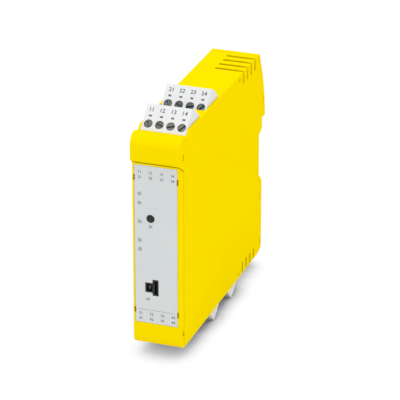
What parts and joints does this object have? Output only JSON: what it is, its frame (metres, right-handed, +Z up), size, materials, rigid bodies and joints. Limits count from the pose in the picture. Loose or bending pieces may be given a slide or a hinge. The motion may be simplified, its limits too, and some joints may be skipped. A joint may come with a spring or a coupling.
{
  "type": "safety relay",
  "caption": "Slim rail-mounted safety relay in a yellow housing, with pluggable screw terminals above and below, a reset button, status lamps and a sprung foot latch.",
  "frame": {"origin": "centre of the rail seat: mid-width, on the plane that bears on the front of the rail's two lips, level with the rail's centre line", "axes": "+Y from the front face towards the rail and the wall behind it, +Z up as installed, +X across the module to the right as seen from the front"},
  "size_m": [0.0226, 0.1145, 0.112],
  "materials": {
    "yellow_plastic": "fine matt moulded",
    "label_grey": "smooth printed",
    "plug_grey": "moulded",
    "header_grey": "moulded",
    "black_plastic": "moulded",
    "pale_plastic": "smooth",
    "clear_guide": "clear",
    "circuit_board": "coated",
    "relay_case": "smooth",
    "wound_core": "taped winding on a core",
    "capacitor_can": "sleeved",
    "spring_steel": "drawn wire",
    "screw_steel": "zinc plated",
    "contact_metal": "tin plated"
  },
  "bodies": {
    "housing": {"housing_shell": "yellow_plastic", "front_cover": "yellow_plastic", "rear_cover": "yellow_plastic", "label_plate": "label_grey", "service_port": "black_plastic", "push_switch": "black_plastic", "board_link": "black_plastic", "port_contacts": "contact_metal", "light_guide": "clear_guide", "status_lamps": "pale_plastic", "main_board": "circuit_board", "logic_board": "circuit_board", "front_board": "circuit_board", "safety_relay_a": "relay_case", "safety_relay_b": "relay_case", "supply_transformer": "wound_core", "supply_capacitor": "capacitor_can", "controller_chips": "black_plastic", "latch_spring": "spring_steel", "header_top_front": "header_grey", "header_top_front_pins": "contact_metal", "header_top_rear": "header_grey", "header_top_rear_pins": "contact_metal", "header_bottom_front": "header_grey", "header_bottom_front_pins": "contact_metal", "header_bottom_rear": "header_grey", "header_bottom_rear_pins": "contact_metal"},
    "button": {"reset_button": "black_plastic", "switch_plunger": "pale_plastic"},
    "latch": {"foot_latch": "yellow_plastic"},
    "plug top front": {"plug_top_front": "plug_grey", "plug_top_front_screws": "screw_steel", "plug_top_front_cages": "screw_steel", "plug_top_front_contacts": "contact_metal"},
    "plug top rear": {"plug_top_rear": "plug_grey", "plug_top_rear_screws": "screw_steel", "plug_top_rear_cages": "screw_steel", "plug_top_rear_contacts": "contact_metal"},
    "plug bottom front": {"plug_bottom_front": "plug_grey", "plug_bottom_front_screws": "screw_steel", "plug_bottom_front_cages": "screw_steel", "plug_bottom_front_contacts": "contact_metal"},
    "plug bottom rear": {"plug_bottom_rear": "plug_grey", "plug_bottom_rear_screws": "screw_steel", "plug_bottom_rear_cages": "screw_steel", "plug_bottom_rear_contacts": "contact_metal"}
  },
  "joints": [
    {"name": "button_press", "type": "slide", "parent": "housing", "child": "button", "axis": [0, 1, 0], "range_m": [0, 0.0008], "stiffness_N_per_m": 1000, "springref_m": -0.0005},
    {"name": "latch_pull", "type": "slide", "parent": "housing", "child": "latch", "axis": [0, 0, -1], "range_m": [0, 0.004], "stiffness_N_per_m": 1500, "springref_m": -0.003, "deforming": ["latch_spring"]},
    {"name": "plug_top_front_pull", "type": "slide", "parent": "housing", "child": "plug top front", "axis": [0, 0, 1], "range_m": [0, 0.01]},
    {"name": "plug_top_rear_pull", "type": "slide", "parent": "housing", "child": "plug top rear", "axis": [0, 0, 1], "range_m": [0, 0.01]},
    {"name": "plug_bottom_front_pull", "type": "slide", "parent": "housing", "child": "plug bottom front", "axis": [0, 0, -1], "range_m": [0, 0.01]},
    {"name": "plug_bottom_rear_pull", "type": "slide", "parent": "housing", "child": "plug bottom rear", "axis": [0, 0, -1], "range_m": [0, 0.01]}
  ]
}
